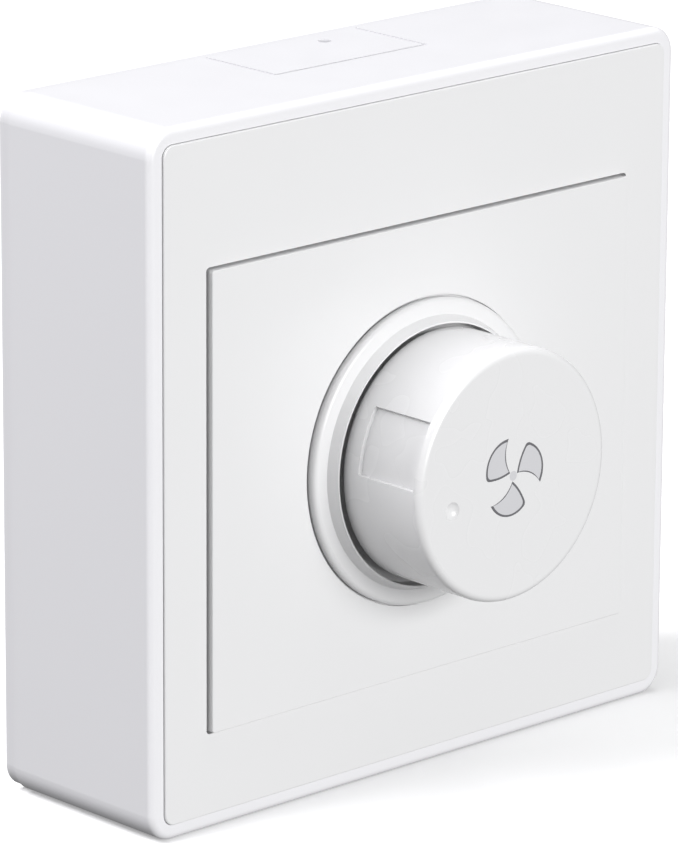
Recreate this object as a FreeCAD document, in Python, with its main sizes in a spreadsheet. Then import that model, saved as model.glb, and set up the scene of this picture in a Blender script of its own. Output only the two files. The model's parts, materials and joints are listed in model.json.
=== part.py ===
"""Surface-mounted rotary speed controller for a ventilation fan, as a FreeCAD document.

Frame: the wall is the plane Y = 0 and the controller stands out of it towards -Y.
+X is to the right and +Z is up for someone who faces the knob. A "depth" below is
the distance from the wall, so a depth of 20 is at Y = -20. The origin is the middle
of the back plate's wall face. The knob's axis is parallel to Y and lies knob_drop
below the origin. Sizes are in millimetres.
"""
import FreeCAD, Part
import math
import os
import re
import Sketcher

V = FreeCAD.Vector
doc = FreeCAD.newDocument("fan_speed_controller")
sheet = doc.addObject("Spreadsheet::Sheet", "Dims")
subparts = []

DIMENSIONS = {
    # whole controller
    "face_w": 86.0,           # width and height of the face
    "rim_depth": 26.5,        # wall to the housing's front rim
    "corner_r": 3.4,          # outer corners, seen from the front
    "knob_drop": 2.65,        # knob axis below the middle of the face
    "slip": 0.06,             # gap round the face plate
    # back plate
    "back_t": 1.8,
    "back_inset": 0.2,        # back plate's edge inside the housing's edge
    "fixing_pitch": 60.0,     # wall fixing slots, across and up
    "slot_w": 4.4,
    "slot_len": 8.0,
    "cable_r": 8.0,           # rear cable entry
    "cable_up": 30.0,
    "pillar_r": 3.0,
    "pilot_r": 1.25,
    # housing
    "shell_t": 1.9,
    "edge_r": 0.9,            # rounding of the front rim's outer edge
    "ledge_w": 1.2,           # ledge that carries the face plate
    "ledge_t": 2.0,
    "boss_r": 3.2,
    "boss_at": 37.2,
    "boss_len": 10.0,
    "knockout_w": 25.0,
    "knockout_len": 12.7,
    "groove_w": 0.4,
    "groove_deep": 1.4,
    "pry_r": 0.85,
    "pry_x": 4.5,
    # face plate and centre panel
    "face_back": 24.5,        # depth of the face plate's back
    "face_front": 26.8,
    "seat_w": 1.8,            # inner ledge that carries the centre panel
    "seat_depth": 25.3,
    "panel_w": 68.6,
    "panel_tall": 56.2,
    "panel_gap": 0.28,
    "panel_front": 27.6,
    "panel_boss_r": 8.0,
    # collar round the knob
    "collar_r": 18.9,
    "collar_left": 0.25,      # collar's axis to the left of the knob's axis
    "collar_low": 0.1,        # and below it
    "collar_line": 0.25,      # width of the shadow groove round the collar
    "collar_flat_r": 16.9,    # inner edge of the flat ring, foot of the cone
    "collar_mouth_r": 16.1,
    "collar_flat_depth": 28.7,
    "collar_mouth_depth": 30.0,
    "spigot_in_r": 17.0,
    "spigot_out_r": 18.0,
    "spigot_len": 0.8,
    # knob
    "knob_r": 15.5,
    "knob_base": 29.6,
    "knob_front": 42.6,
    "knob_wall": 1.7,
    "knob_front_t": 1.9,
    "knob_round": 0.9,
    "knob_hub_r": 5.4,
    "knob_hub_base": 30.9,
    "rib_t": 1.2,
    "rib_base": 32.9,
    "grip_deep": 0.55,        # finger recesses in the knob's side
    "grip_base": 32.3,
    "grip_front": 41.6,
    "grip_arc": 31.5,         # degrees of the rim that one recess takes
    "dimple_r": 1.15,         # pointer mark
    "dimple_deep": 0.5,
    "dimple_at": 10.3,        # its distance from the axis
    "symbol_r": 5.0,          # fan pictogram
    "symbol_t": 0.3,
    "symbol_line": 0.24,      # width of the dark line round each blade
    "symbol_hub_r": 0.6,
    # mounting bracket, which is also the heat sink
    "bracket_len": 79.0,
    "bracket_tall": 16.0,
    "bracket_back": 20.5,
    "bracket_t": 1.5,
    "bracket_screw_x": 36.8,
    # circuit board
    "board_w": 66.0,
    "board_tall": 46.0,
    "board_back": 10.4,
    "board_t": 1.6,
    "board_screw_x": 29.5,
    "board_screw_z": 20.0,
    # potentiometer
    "pot_r": 12.0,
    "pot_wall": 0.6,
    "pot_back": 12.5,
    "pot_face_t": 0.8,
    "wafer_t": 1.4,
    "track_t": 0.12,
    "bushing_r": 5.0,
    "bushing_end": 30.3,
    "flange_r": 7.0,
    "flange_t": 0.8,
    "shaft_r": 3.0,
    "shaft_play": 0.05,
    "shaft_back": 14.5,
    "shaft_end": 40.1,
    "flat_deep": 1.5,         # D flat of the shaft
    "shoulder_r": 4.6,
    "shoulder_back": 17.2,
    "shoulder_t": 1.3,
    "rotor_r": 9.4,
    "rotor_t": 1.4,
    "stop_in_r": 9.8,         # fixed stop, on the can's inner wall
    "lug_r": 10.8,            # turning stop, on the rotor
    "stop_arc": 58.0,
    "lug_arc": 25.0,
    "wiper_t": 0.3,
    "washer_r": 7.6,
    "washer_t": 0.4,
    "nut_flats": 14.0,
    "nut_t": 2.0,
    "tab_x": 9.2,             # locating tab of the can, in the bracket
    # screws
    "screw_r": 1.2,
    "pan_r": 2.8,
    "pan_t": 1.8,
    # terminal block
    "ways": 4.0,
    "way_pitch": 5.08,
    "block_deep": 8.0,
    "block_tall": 10.0,
    "block_z": 15.6,
    "well_r": 2.0,
    "chamber_w": 3.8,
    # fuse
    "fuse_r": 2.5,
    "fuse_len": 20.0,
    "fuse_x": -27.0,
    "fuse_lift": 4.6,
    "cap_len": 5.0,
    # triac
    "triac_w": 10.0,
    "tab_t": 1.3,
    "triac_t": 4.4,
    "pad_t": 0.2,
    "triac_hole_x": 16.4,
    # choke
    "choke_len": 17.0,
    "core_r": 2.4,
    "winding_r": 3.8,
    "winding_len": 12.6,
    "choke_x": 16.5,
    "choke_z": -21.0,
    # component leads
    "lead_r": 0.3,
    "lead_tail": 1.1,
}

# Angles in degrees, anticlockwise from +X as seen from the front.
POINTER_ANGLE = 193.5
GRIP_ANGLE = 161.0
STOP_ANGLE = 270.0
BLADE_ANGLES = (20.0, 140.0, 260.0)

# One pictogram blade about its own middle line: radius as a part of symbol_r, and
# angle. Root, leading edge, tip, crown of the outer arc, heel, trailing edge.
BLADE_POINTS = ((0.13, 0.0), (0.57, -24.0), (0.96, -40.0), (1.0, -4.0), (0.88, 39.0),
                (0.47, 40.0))
BLADE_MIDDLE = 0.62
BLADE_HALF_WIDTH = 0.36


# ---------------------------------------------------------------- sheet and formulas

def fill_sheet():
    """Write each driving dimension as a plain number with an alias."""
    for row, (alias, value) in enumerate(DIMENSIONS.items(), start=1):
        sheet.set("A%d" % row, alias)
        sheet.set("B%d" % row, repr(value))
        sheet.setAlias("B%d" % row, alias)
    doc.recompute()


def size(alias):
    """Number held by a cell, for sketches that need a starting size."""
    return float(sheet.get(alias))


def formula(text):
    """A formula in dimension names, with the sheet's name put before each one."""
    return re.sub(r"\b[a-z]\w*\b", lambda word: "Dims." + word.group(0), str(text))


def bind(thing, **properties):
    """Tie properties to formulas; a double underscore stands for a dot."""
    for name, text in properties.items():
        thing.setExpression(name.replace("__", "."), formula(text))
    return thing


def keep(thing, node):
    """Register a finished sub-part under its node name."""
    thing.Label = node
    subparts.append(thing)
    return thing


# ---------------------------------------------------------------- primitives
# x and z place a primitive's middle; depths run from the wall to the front.

ALONG = {
    "front": FreeCAD.Rotation(V(1, 0, 0), 90),
    "right": FreeCAD.Rotation(V(0, 1, 0), 90),
    "up": FreeCAD.Rotation(),
}


def rod(name, radius, length, x="0", depth="0", z="0", along="front"):
    """Round bar that starts at the given point and runs to the front, right or up."""
    bar = doc.addObject("Part::Cylinder", name)
    bar.Placement = FreeCAD.Placement(V(), ALONG[along])
    return bind(bar, Radius=radius, Height=length, Placement__Base__x=x,
                Placement__Base__y="-(%s)" % depth, Placement__Base__z=z)


def cone(name, back_r, front_r, length, x="0", depth="0", z="0"):
    """Cone whose axis runs to the front."""
    taper = doc.addObject("Part::Cone", name)
    taper.Placement = FreeCAD.Placement(V(), ALONG["front"])
    return bind(taper, Radius1=back_r, Radius2=front_r, Height=length,
                Placement__Base__x=x, Placement__Base__y="-(%s)" % depth,
                Placement__Base__z=z)


def block(name, width, deep, tall, x="0", depth="0", z="0"):
    """Box centred on x and z, with its back at the given depth."""
    box = doc.addObject("Part::Box", name)
    return bind(box, Length=width, Width=deep, Height=tall,
                Placement__Base__x="(%s)-(%s)/2" % (x, width),
                Placement__Base__y="-(%s)-(%s)" % (depth, deep),
                Placement__Base__z="(%s)-(%s)/2" % (z, tall))


def hexagon(name, flats, length, depth, x="0", z="0"):
    """Hexagonal bar that runs to the front."""
    prism = doc.addObject("Part::Prism", name)
    prism.Polygon = 6
    prism.Placement = FreeCAD.Placement(V(), ALONG["front"])
    return bind(prism, Circumradius="(%s)/1.7320508" % flats, Height=length,
                Placement__Base__x=x, Placement__Base__y="-(%s)" % depth,
                Placement__Base__z=z)


def ring_sector(name, inner, outer, length, depth, start, sweep):
    """Part of a ring about the knob's axis, from a start angle through a sweep."""
    wedge = doc.addObject("Part::Cylinder", name + "_wedge")
    turn = FreeCAD.Rotation(V(0, -1, 0), start)
    wedge.Placement = FreeCAD.Placement(V(), turn.multiply(ALONG["front"]))
    bind(wedge, Radius=outer, Height=length, Angle=sweep,
         Placement__Base__y="-(%s)" % depth, Placement__Base__z="-knob_drop")
    hole = rod(name + "_hole", inner, "%s+2" % length, depth="%s-1" % depth,
               z="-knob_drop")
    return cut(name, wedge, [hole])


def join(name, pieces):
    """Fuse that swallows the pieces; touching faces are merged."""
    union = doc.addObject("Part::MultiFuse", name)
    union.Shapes = pieces
    union.Refine = True
    return union


def group(name, pieces):
    """Several separate solids that share one node."""
    compound = doc.addObject("Part::Compound", name)
    compound.Links = pieces
    return compound


def cut(name, base, tools):
    """Base with every tool taken away."""
    tool = tools[0] if len(tools) == 1 else group(name + "_tools", tools)
    result = doc.addObject("Part::Cut", name)
    result.Base = base
    result.Tool = tool
    return result


# ---------------------------------------------------------------- sketched bodies

def new_body(node, drop=False):
    """PartDesign body; drop puts its own origin on the knob's axis."""
    body = doc.addObject("PartDesign::Body", node)
    if drop:
        bind(body, Placement__Base__z="-knob_drop")
    return body


def origin_part(body, role):
    """Plane or axis of a body's own origin."""
    for feature in body.Origin.OriginFeatures:
        if feature.Role == role:
            return feature
    raise ValueError("no " + role)


def new_sketch(body, name, plane="XZ_Plane", depth=None, up=None):
    """Sketch on an origin plane. On XZ the normal points to the front, so the
    offset along it is a depth."""
    sketch = body.newObject("Sketcher::SketchObject", name)
    sketch.AttachmentSupport = [(origin_part(body, plane), "")]
    sketch.MapMode = "FlatFace"
    if depth is not None:
        bind(sketch, AttachmentOffset__Base__z=depth)
    if up is not None:
        bind(sketch, AttachmentOffset__Base__y=up)
    return sketch


def dimension(sketch, kind, name, text, *where):
    """Add a named sketch dimension and tie it to a formula."""
    index = sketch.addConstraint(Sketcher.Constraint(kind, *where))
    sketch.renameConstraint(index, name)
    sketch.setExpression("Constraints." + name, formula(text))


def rounded_rectangle(sketch, tag, width, tall, radius, w, t, r):
    """Closed rounded rectangle centred on the sketch's origin.

    width, tall and radius are formulas; w, t and r are their starting values.
    """
    first = sketch.GeometryCount
    x = w / 2 - r
    z = t / 2 - r
    corners = ((x, -z, -90), (x, z, 0), (-x, z, 90), (-x, -z, 180))
    lines = ((V(-x, -t / 2), V(x, -t / 2)), (V(w / 2, -z), V(w / 2, z)),
             (V(x, t / 2), V(-x, t / 2)), (V(-w / 2, z), V(-w / 2, -z)))
    for (start, end), (cx, cz, angle) in zip(lines, corners):
        sketch.addGeometry(Part.LineSegment(start, end))
        circle = Part.Circle(V(cx, cz), V(0, 0, 1), r)
        begin = math.radians(angle)
        sketch.addGeometry(Part.ArcOfCircle(circle, begin, begin + math.pi / 2))
    for step in range(8):
        here = first + step
        after = first + (step + 1) % 8
        sketch.addConstraint(Sketcher.Constraint("Tangent", here, 2, after, 1))
    for line, direction in ((0, "Horizontal"), (2, "Vertical"), (4, "Horizontal"),
                            (6, "Vertical")):
        sketch.addConstraint(Sketcher.Constraint(direction, first + line))
    for arc in (3, 5, 7):
        sketch.addConstraint(Sketcher.Constraint("Equal", first + 1, first + arc))
    sketch.addConstraint(
        Sketcher.Constraint("Symmetric", first + 3, 3, first + 7, 3, -1, 1))
    dimension(sketch, "Radius", tag + "_radius", radius, first + 1, r)
    dimension(sketch, "DistanceX", tag + "_width", width, first + 6, 1, first + 2, 1, w)
    dimension(sketch, "DistanceY", tag + "_tall", tall, first, 1, first + 4, 1, t)


def outline(sketch, corners):
    """Closed polygon whose corners are (name of X cell formula, Y formula, x, y)."""
    count = len(corners)
    points = [V(x, y) for _, _, x, y in corners]
    first = sketch.GeometryCount
    for index, start in enumerate(points):
        sketch.addGeometry(Part.LineSegment(start, points[(index + 1) % count]))
    for index in range(count):
        here = first + index
        after = first + (index + 1) % count
        sketch.addConstraint(Sketcher.Constraint("Coincident", here, 2, after, 1))
    for index, (across, along, x, y) in enumerate(corners):
        for kind, text, value in (("DistanceX", across, x), ("DistanceY", along, y)):
            tag = "%s%d" % (kind[-1].lower(), index)
            place_point(sketch, kind, tag, text, first + index, value)


def place_point(sketch, kind, tag, text, line, value):
    """Fix one coordinate of a line's start; zero lies on the sketch's axis."""
    if text == "0":
        axis = -2 if kind == "DistanceX" else -1
        sketch.addConstraint(Sketcher.Constraint("PointOnObject", line, 1, axis))
    else:
        dimension(sketch, kind, tag, text, -1, 1, line, 1, value)


def pad(body, sketch, length, name):
    """Pad from a sketch towards the front."""
    feature = body.newObject("PartDesign::Pad", name)
    feature.Profile = sketch
    bind(feature, Length=length)
    doc.recompute()
    return feature


def pocket(body, sketch, length, name):
    """Pocket from a sketch towards the wall; it has to take material away."""
    before = body.Shape.Volume
    feature = body.newObject("PartDesign::Pocket", name)
    feature.Profile = sketch
    bind(feature, Length=length)
    doc.recompute()
    if not body.Shape.Volume < before:
        raise ValueError(name + " cuts nothing")
    return feature


def revolve(body, sketch, name):
    """Full turn about the sketch's vertical axis."""
    feature = body.newObject("PartDesign::Revolution", name)
    feature.Profile = sketch
    feature.ReferenceAxis = (sketch, ["V_Axis"])
    feature.Angle = 360
    doc.recompute()
    return feature


def round_edges(body, chosen, radius, name, kind="PartDesign::Fillet"):
    """Fillet or chamfer the edges of the body's last feature that chosen accepts."""
    base = body.Tip
    edges = ["Edge%d" % (number + 1) for number, edge in enumerate(base.Shape.Edges)
             if chosen(edge)]
    if not edges:
        raise ValueError(name + " finds no edge")
    feature = body.newObject(kind, name)
    feature.Base = (base, edges)
    if kind.endswith("Fillet"):
        bind(feature, Radius=radius)
    else:
        bind(feature, Size=radius)
    doc.recompute()
    return feature


def turned(node, corners):
    """Body of revolution about the knob's axis.

    Each corner is (radius formula, depth formula), with plain cell names or sums.
    """
    body = new_body(node, drop=True)
    sketch = new_sketch(body, node + "_profile", "XY_Plane")
    placed = []
    for radius, depth in corners:
        placed.append((radius, "-(%s)" % depth, total(radius), -total(depth)))
    outline(sketch, placed)
    revolve(body, sketch, node + "_turn")
    return body


def total(text):
    """Value of a sum or difference of cell names and numbers."""
    value = 0.0
    for sign, word in re.findall(r"([+-]?)\s*([\w.]+)", text):
        amount = size(word) if word[0].isalpha() else float(word)
        value += -amount if sign == "-" else amount
    return value


# ---------------------------------------------------------------- housing

def screw_corners():
    """Signs of the four corners."""
    return ((-1, -1), (1, -1), (-1, 1), (1, 1))


def back_plate():
    """Flat moulding on the wall, with slots and cable entry."""
    body = new_body("back_slab")
    edge = size("face_w") - 2 * size("back_inset")
    base = new_sketch(body, "back_outline", depth="0")
    rounded_rectangle(base, "back", "face_w-2*back_inset", "face_w-2*back_inset",
                      "corner_r-back_inset", edge, edge,
                      size("corner_r") - size("back_inset"))
    pad(body, base, "back_t", "back_pad")
    tools = []
    for right, up in screw_corners():
        tools += wall_slot(right, up)
        tools.append(countersink(right, up))
        tools.append(rod("back_screw_hole", "pilot_r+0.25", "back_t+2",
                         x="%d*boss_at" % right, depth="-1", z="%d*boss_at" % up))
    tools.append(rod("cable_hole", "cable_r", "back_t+2", depth="-1", z="cable_up"))
    keep(cut("back_plate_whole", body, tools), "back_plate")


def wall_slot(right, up):
    """Slot for a wall screw: a straight stretch and two round ends."""
    x = "%d*fixing_pitch/2" % right
    z = "%d*fixing_pitch/2" % up
    straight = block("slot_middle", "slot_len-slot_w", "back_t+2", "slot_w", x, "-1", z)
    ends = [rod("slot_end", "slot_w/2", "back_t+2", depth="-1", z=z,
                x="%s+(%d)*(slot_len-slot_w)/2" % (x, side)) for side in (-1, 1)]
    return [straight] + ends


def countersink(right, up):
    """Recess for a housing screw's head, open towards the wall."""
    return cone("back_countersink", "2.7", "pilot_r+0.2", "1.5",
                x="%d*boss_at" % right, depth="0", z="%d*boss_at" % up)


def pillar(x, z, top, name):
    """Screw pillar on the back plate with a pilot hole in its end."""
    post = rod(name + "_post", "pillar_r", "%s-back_t" % top, x=x, depth="back_t",
               z=z)
    bore = rod(name + "_bore", "pilot_r", "7.5", x=x, depth="%s-7" % top, z=z)
    return cut(name, post, [bore])


def board_spots():
    """X and Z formulas of the circuit board's four screws."""
    return [("%d*board_screw_x" % right, "%d*board_screw_z-knob_drop" % up)
            for right, up in screw_corners()]


def board_pillars():
    """Four pillars that carry the circuit board."""
    return [pillar(x, z, "board_back", "board_pillar") for x, z in board_spots()]


def bracket_pillars():
    """Two tall pillars that carry the mounting bracket."""
    return [pillar("%d*bracket_screw_x" % side, "-knob_drop", "bracket_back",
                   "bracket_pillar") for side in (-1, 1)]


def pillars():
    """Screw pillars on the back plate."""
    keep(group("pillar_set", board_pillars() + bracket_pillars()), "pillars")


def housing():
    """Four walls with a rounded rim, a ledge for the face plate and corner bosses."""
    body = new_body("housing_shell")
    face = size("face_w")
    base = new_sketch(body, "housing_outline", depth="back_t")
    rounded_rectangle(base, "outer", "face_w", "face_w", "corner_r", face, face,
                      size("corner_r"))
    pad(body, base, "rim_depth-back_t", "housing_pad")
    wall = size("shell_t")
    inner = new_sketch(body, "housing_inside", depth="rim_depth")
    rounded_rectangle(inner, "inner", "face_w-2*shell_t", "face_w-2*shell_t",
                      "corner_r-shell_t", face - 2 * wall, face - 2 * wall,
                      size("corner_r") - wall)
    pocket(body, inner, "rim_depth-back_t", "housing_pocket")
    half = face / 2
    rim = -size("rim_depth")
    round_edges(body, lambda edge: on_rim(edge, half, rim), "edge_r", "rim_rounding")
    walls = cut("housing_walls", body, knockout_grooves())
    keep(join("housing_whole", [walls] + face_ledge() + corner_bosses()), "housing")


def on_rim(edge, half, rim):
    """True for an edge of the housing's outer outline at its front rim."""
    box = edge.BoundBox
    flat = abs(box.YMin - rim) < 1e-4 and abs(box.YMax - rim) < 1e-4
    reach = max(abs(box.XMin), abs(box.XMax), abs(box.ZMin), abs(box.ZMax))
    return flat and reach > half - 1e-4


def knockout_grooves():
    """Thin grooves round the cable knock-out in the top wall, and its pry hole."""
    top = "face_w/2-groove_deep/2+0.5"
    tall = "groove_deep+1"
    sides = [block("knockout_side", "groove_w", "knockout_len+1", tall,
                   "%d*(knockout_w-groove_w)/2" % side, "back_t-1", top)
             for side in (-1, 1)]
    front = block("knockout_front", "knockout_w", "groove_w", tall, "0",
                  "back_t+knockout_len-groove_w", top)
    mark = rod("pry_mark", "pry_r", "shell_t+1", x="pry_x", depth="back_t+3",
               z="face_w/2-shell_t-0.5", along="up")
    return sides + [front, mark]


def face_ledge():
    """Ledge inside the walls that the face plate lies on."""
    body = new_body("ledge")
    wall = size("shell_t")
    outer = size("face_w") - 2 * wall + 0.2
    inner = outer - 0.2 - 2 * size("ledge_w")
    sketch = new_sketch(body, "ledge_outline", depth="face_back-ledge_t")
    rounded_rectangle(sketch, "outer", "face_w-2*shell_t+0.2", "face_w-2*shell_t+0.2",
                      "corner_r-shell_t+0.1", outer, outer,
                      size("corner_r") - wall + 0.1)
    rounded_rectangle(sketch, "inner", "face_w-2*shell_t-2*ledge_w",
                      "face_w-2*shell_t-2*ledge_w", "corner_r-shell_t-ledge_w",
                      inner, inner, size("corner_r") - wall - size("ledge_w"))
    pad(body, sketch, "ledge_t", "ledge_pad")
    return [body]


def corner_bosses():
    """Bosses for the screws from the back plate, tied into the corners."""
    bosses = []
    for right, up in screw_corners():
        x = "%d*boss_at" % right
        z = "%d*boss_at" % up
        post = rod("boss_post", "boss_r", "boss_len", x=x, depth="back_t", z=z)
        web = "face_w/2-shell_t-boss_at+0.1"
        side = block("boss_web", web, "boss_len", "1.6",
                     "%d*(boss_at+(%s)/2)" % (right, web), "back_t", z)
        roof = block("boss_web", "1.6", "boss_len", web, x, "back_t",
                     "%d*(boss_at+(%s)/2)" % (up, web))
        bore = rod("boss_bore", "pilot_r", "boss_len-1.5", x=x, depth="back_t", z=z)
        bosses.append(cut("boss", join("boss_body", [post, side, roof]), [bore]))
    return bosses


def back_screws():
    """Countersunk screws that hold the housing on the back plate."""
    screws = []
    for right, up in screw_corners():
        x = "%d*boss_at" % right
        z = "%d*boss_at" % up
        head = cone("screw_head", "2.5", "screw_r", "1.4", x=x, depth="0.05", z=z)
        shank = rod("screw_shank", "screw_r", "8", x=x, depth="1.4", z=z)
        slot = cross_slot("screw_slot", x, "-0.95", z, "1.7")
        screws.append(cut("back_screw", join("back_screw_body", [head, shank]), [slot]))
    keep(group("back_screw_set", screws), "back_screws")


def cross_slot(name, x, depth, z, deep):
    """Cross-shaped cutter for a screw head."""
    return join(name, [block(name + "_bar", "2.8", deep, "0.6", x, depth, z),
                       block(name + "_bar", "0.6", deep, "2.8", x, depth, z)])


# ---------------------------------------------------------------- front covers

def face_plate():
    """Front cover with the window that takes the centre panel."""
    body = new_body("face_plate")
    outer = size("face_w") - 2 * size("shell_t") - 2 * size("slip")
    radius = size("corner_r") - size("shell_t") - size("slip")
    base = new_sketch(body, "face_outline", depth="face_back")
    rounded_rectangle(base, "outer", "face_w-2*shell_t-2*slip",
                      "face_w-2*shell_t-2*slip", "corner_r-shell_t-slip",
                      outer, outer, radius)
    pad(body, base, "face_front-face_back", "face_pad")
    wide = size("panel_w") + 2 * size("panel_gap")
    tall = size("panel_tall") + 2 * size("panel_gap")
    window = new_sketch(body, "window_outline", depth="face_front", up="-knob_drop")
    rounded_rectangle(window, "window", "panel_w+2*panel_gap",
                      "panel_tall+2*panel_gap", "0.5", wide, tall, 0.5)
    pocket(body, window, "face_front-seat_depth", "window_pocket")
    seat = 2 * size("seat_w")
    hole = new_sketch(body, "seat_outline", depth="seat_depth", up="-knob_drop")
    rounded_rectangle(hole, "seat", "panel_w-2*seat_w", "panel_tall-2*seat_w", "1",
                      size("panel_w") - seat, size("panel_tall") - seat, 1.0)
    pocket(body, hole, "seat_depth-face_back", "seat_pocket")
    front = -size("face_front")
    half = outer / 2
    round_edges(body, lambda edge: on_rim(edge, half, front), "0.2", "face_rounding")
    keep(body, "face_plate")


def centre_panel():
    """Raised panel round the knob, clamped by the potentiometer's nut."""
    body = new_body("panel_slab", drop=True)
    base = new_sketch(body, "panel_outline", depth="seat_depth")
    rounded_rectangle(base, "panel", "panel_w", "panel_tall", "0.4",
                      size("panel_w"), size("panel_tall"), 0.4)
    pad(body, base, "panel_front-seat_depth", "panel_pad")
    front = -size("panel_front")
    half = size("panel_tall") / 2
    round_edges(body, lambda edge: on_rim(edge, half, front), "0.15", "panel_rounding")
    bracket_front = "bracket_back+bracket_t"
    boss = rod("panel_boss", "panel_boss_r", "seat_depth-(%s)+0.2" % bracket_front,
               depth=bracket_front, z="-knob_drop")
    bore = rod("panel_bore", "bushing_r+0.1", "8", depth="20.5", z="-knob_drop")
    spigot_groove = collar_groove("spigot_groove", "spigot_in_r-0.05",
                                  "spigot_out_r+0.05", "spigot_len+0.05")
    line_groove = collar_groove("line_groove", "collar_r-0.3", "collar_r+collar_line",
                                "0.5")
    whole = join("panel_body", [body, boss])
    keep(cut("centre_panel_whole", whole, [bore, spigot_groove, line_groove]),
         "centre_panel")


def collar_groove(name, inner, outer, deep):
    """Ring cutter in the panel's front, about the collar's axis."""
    depth = "panel_front-(%s)" % deep
    solid = rod(name + "_solid", outer, "(%s)+1" % deep, "-collar_left", depth,
                COLLAR_Z)
    core = rod(name + "_core", inner, "(%s)+3" % deep, "-collar_left", depth + "-1",
               COLLAR_Z)
    return cut(name, solid, [core])


COLLAR_Z = "-knob_drop-collar_low"


def collar():
    """Ring round the knob: a flat rim and a cone that rises to the knob."""
    body = turned("collar", [
        ("collar_mouth_r", "panel_front"),
        ("spigot_in_r", "panel_front"),
        ("spigot_in_r", "panel_front-spigot_len"),
        ("spigot_out_r", "panel_front-spigot_len"),
        ("spigot_out_r", "panel_front"),
        ("collar_r", "panel_front"),
        ("collar_r", "collar_flat_depth"),
        ("collar_flat_r", "collar_flat_depth"),
        ("collar_mouth_r+0.2", "collar_mouth_depth"),
        ("collar_mouth_r", "collar_mouth_depth"),
    ])
    outer = size("collar_r")
    crest = -size("collar_flat_depth")
    round_edges(body, lambda edge: is_circle(edge, outer, crest), "0.6", "collar_edge")
    bind(body, Placement__Base__x="-collar_left", Placement__Base__z=COLLAR_Z)
    keep(body, "collar")


def is_circle(edge, radius, level):
    """True for a circle about the knob's axis at the given Y."""
    curve = edge.Curve
    return (isinstance(curve, Part.Circle) and abs(curve.Radius - radius) < 1e-4
            and abs(curve.Center.y - level) < 1e-4)


# ---------------------------------------------------------------- knob

def knob():
    """Hollow knob with a hub for the shaft, finger recesses and a pointer dimple."""
    body = turned("knob_shell", [
        ("0", "knob_front"),
        ("knob_r", "knob_front"),
        ("knob_r", "knob_base"),
        ("knob_r-knob_wall", "knob_base"),
        ("knob_r-knob_wall", "knob_front-knob_front_t"),
        ("knob_hub_r", "knob_front-knob_front_t"),
        ("knob_hub_r", "knob_hub_base"),
        ("0", "knob_hub_base"),
    ])
    radius = size("knob_r")
    front = -size("knob_front")
    base = -size("knob_base")
    round_edges(body, lambda edge: is_circle(edge, radius, front), "knob_round",
                "knob_front_edge")
    round_edges(body, lambda edge: is_circle(edge, radius, base), "0.4",
                "knob_base_edge")
    pieces = join("knob_body", [body] + knob_ribs())
    tools = finger_recesses() + [pointer_dimple(), shaft_socket()] + symbol_cutters()
    keep(cut("knob_whole", pieces, tools), "knob")


def knob_ribs():
    """Cross of ribs between the hub and the knob's wall."""
    span = "2*(knob_r-knob_wall)+0.4"
    deep = "knob_front-knob_front_t-rib_base+0.2"
    level = block("rib_level", span, deep, "rib_t", "0", "rib_base", "-knob_drop")
    upright = block("rib_upright", "rib_t", deep, span, "0", "rib_base", "-knob_drop")
    core = rod("rib_core", "knob_hub_r-0.2", "knob_front", depth="0", z="-knob_drop")
    return [cut("knob_rib", join("rib_cross", [level, upright]), [core])]


def finger_recesses():
    """Two shallow recesses in the knob's side, opposite each other."""
    recesses = []
    for middle in (GRIP_ANGLE, GRIP_ANGLE + 180):
        start = middle - size("grip_arc") / 2
        recesses.append(ring_sector("finger_recess", "knob_r-grip_deep", "knob_r+1",
                                    "grip_front-grip_base", "grip_base", start,
                                    "grip_arc"))
    return recesses


def on_circle(radius, angle):
    """X and Z formulas of a point at an angle about the knob's axis."""
    turn = math.radians(angle)
    return ("%s*(%.6f)" % (radius, math.cos(turn)),
            "%s*(%.6f)-knob_drop" % (radius, math.sin(turn)))


def pointer_dimple():
    """Ball cutter for the shallow pointer mark on the knob's front."""
    x, z = on_circle("dimple_at", POINTER_ANGLE)
    ball = doc.addObject("Part::Sphere", "pointer_ball")
    reach = "(dimple_r*dimple_r+dimple_deep*dimple_deep)/(2*dimple_deep)"
    return bind(ball, Radius=reach, Placement__Base__x=x, Placement__Base__z=z,
                Placement__Base__y="-knob_front+dimple_deep-(%s)" % reach)


def shaft_socket():
    """D-shaped cutter for the shaft, a little larger than the shaft."""
    play = "0.03"
    bore = rod("socket_bore", "shaft_r+%s" % play, "shaft_end-knob_hub_base+1.2",
               depth="knob_hub_base-1", z="-knob_drop")
    flat = block("socket_flat", "2*shaft_r+1", "shaft_end", "2*shaft_r",
                 "0", "knob_hub_base-2",
                 "-knob_drop-shaft_r+flat_deep-%s-shaft_r" % play)
    return cut("shaft_socket", bore, [flat])


def blade(name, angle, inset=0.0):
    """One blade of the fan pictogram, let into the knob's front.

    inset is how far the outline lies inside the full blade's outline.
    """
    body = doc.addObject("PartDesign::Body", name)
    sketch = new_sketch(body, name + "_outline")
    reach = size("symbol_r")
    middle = polar(BLADE_MIDDLE * reach, 0.0)
    shrink = 1.0 - inset / (BLADE_HALF_WIDTH * reach)
    root, lead, tip, crown, heel, belly = [
        middle + (polar(part * reach, turn) - middle) * shrink
        for part, turn in BLADE_POINTS]
    sketch.addGeometry(Part.Arc(root, lead, tip))
    sketch.addGeometry(Part.Arc(tip, crown, heel))
    sketch.addGeometry(Part.Arc(heel, belly, root))
    pad(body, sketch, "symbol_t", name + "_pad")
    round_edges(body, lambda side: is_heel(side, heel), "0.6", name + "_rounding")
    turn = FreeCAD.Rotation(V(0, -1, 0), angle)
    body.Placement = FreeCAD.Placement(V(), turn)
    return bind(body, Placement__Base__z="-knob_drop",
                Placement__Base__y="-knob_front+symbol_t")


def polar(radius, angle):
    """Point at a radius and an angle in degrees."""
    turn = math.radians(angle)
    return V(radius * math.cos(turn), radius * math.sin(turn))


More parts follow.
